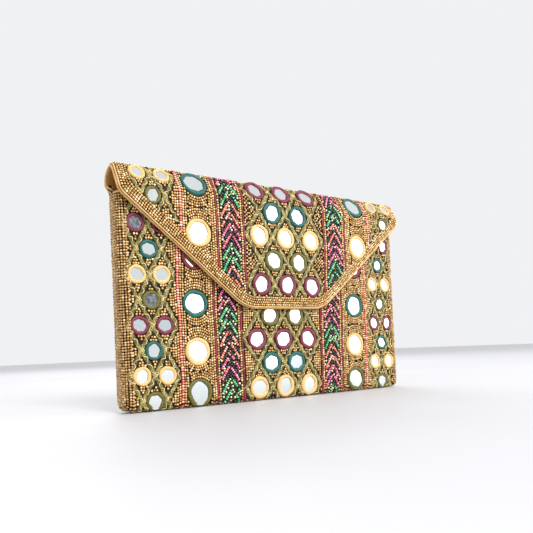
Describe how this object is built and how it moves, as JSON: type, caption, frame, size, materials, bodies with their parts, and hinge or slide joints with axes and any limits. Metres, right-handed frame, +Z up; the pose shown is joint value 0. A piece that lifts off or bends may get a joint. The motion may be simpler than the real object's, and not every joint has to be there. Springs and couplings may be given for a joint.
{
  "type": "clutch purse",
  "caption": "Flat envelope clutch covered with seed beads, braids and round mirrors; its flap folds over the top edge and closes on the front with a magnetic snap.",
  "frame": {"origin": "middle of the base, on the surface that the purse stands on", "axes": "+X along the width, -Y out of the front with the flap, +Z up"},
  "size_m": [0.28, 0.0273, 0.1761],
  "materials": {
    "ground_cloth": "woven",
    "stiffener": "matt",
    "satin_lining": "satin",
    "satin_piping": "satin",
    "snap_metal": "satin",
    "mirror_glass": "polished",
    "maroon_thread": "silk thread",
    "teal_thread": "silk thread",
    "cream_thread": "silk thread",
    "olive_thread": "silk thread",
    "braid_thread": "braided thread",
    "maroon_cord": "twisted cord",
    "coral_beads": "glossy",
    "black_beads": "glossy",
    "pink_beads": "glossy",
    "green_beads": "glossy",
    "gold_beads": "metallic lustre"
  },
  "bodies": {
    "purse_body": {"outer_cloth": "ground_cloth", "front_board": "stiffener", "back_board": "stiffener", "lining_bag": "satin_lining", "slip_pocket": "satin_lining", "side_seam_cords": "gold_beads", "mouth_piping": "satin_piping", "snap_socket": "snap_metal", "socket_washer": "snap_metal", "body_mirrors": "mirror_glass", "body_rings_maroon": "maroon_thread", "body_rings_teal": "teal_thread", "body_rings_cream": "cream_thread", "body_rings_olive": "olive_thread", "body_braids": "braid_thread", "body_maroon_cords": "maroon_cord", "body_coral_lines": "coral_beads", "body_black_ground": "black_beads", "body_arrows_pink": "pink_beads", "body_arrows_green": "green_beads", "body_arrows_coral": "coral_beads", "body_gold_beads": "gold_beads", "side_edge_beads": "gold_beads"},
    "fold_back": {"fold_back_cloth": "ground_cloth", "fold_back_lining": "satin_lining", "fold_back_cords": "maroon_cord", "fold_back_gold_beads": "gold_beads"},
    "fold_front": {"fold_front_cloth": "ground_cloth", "fold_front_lining": "satin_lining", "fold_front_mirrors": "mirror_glass", "fold_front_rings_maroon": "maroon_thread", "fold_front_rings_teal": "teal_thread", "fold_front_rings_cream": "cream_thread", "fold_front_cords": "maroon_cord", "fold_front_arrows": "green_beads", "fold_front_gold_beads": "gold_beads"},
    "flap": {"flap_cloth": "ground_cloth", "flap_board": "stiffener", "flap_lining": "satin_lining", "flap_piping": "satin_piping", "snap_stud": "snap_metal", "stud_washer": "snap_metal", "flap_mirrors": "mirror_glass", "flap_rings_maroon": "maroon_thread", "flap_rings_teal": "teal_thread", "flap_rings_cream": "cream_thread", "flap_rings_olive": "olive_thread", "flap_braids": "braid_thread", "flap_maroon_cords": "maroon_cord", "flap_coral_lines": "coral_beads", "flap_black_ground": "black_beads", "flap_arrows_pink": "pink_beads", "flap_arrows_green": "green_beads", "flap_arrows_coral": "coral_beads", "flap_gold_beads": "gold_beads"}
  },
  "joints": [
    {"name": "back_fold", "type": "hinge", "parent": "purse_body", "child": "fold_back", "pos_m": [0, 0.00766, 0.16942], "axis": [-1, 0, 0], "range_deg": [0, 60]},
    {"name": "crest_fold", "type": "hinge", "parent": "fold_back", "child": "fold_front", "pos_m": [0, -0.00336, 0.1753], "axis": [-1, 0, 0], "range_deg": [0, 90]},
    {"name": "front_fold", "type": "hinge", "parent": "fold_front", "child": "flap", "pos_m": [0, -0.01376, 0.16011], "axis": [-1, 0, 0], "range_deg": [0, 30]}
  ],
  "couplings": [
    {"joint": "back_fold", "follows": "crest_fold", "ratio": 0.66667},
    {"joint": "front_fold", "follows": "crest_fold", "ratio": 0.33333}
  ]
}
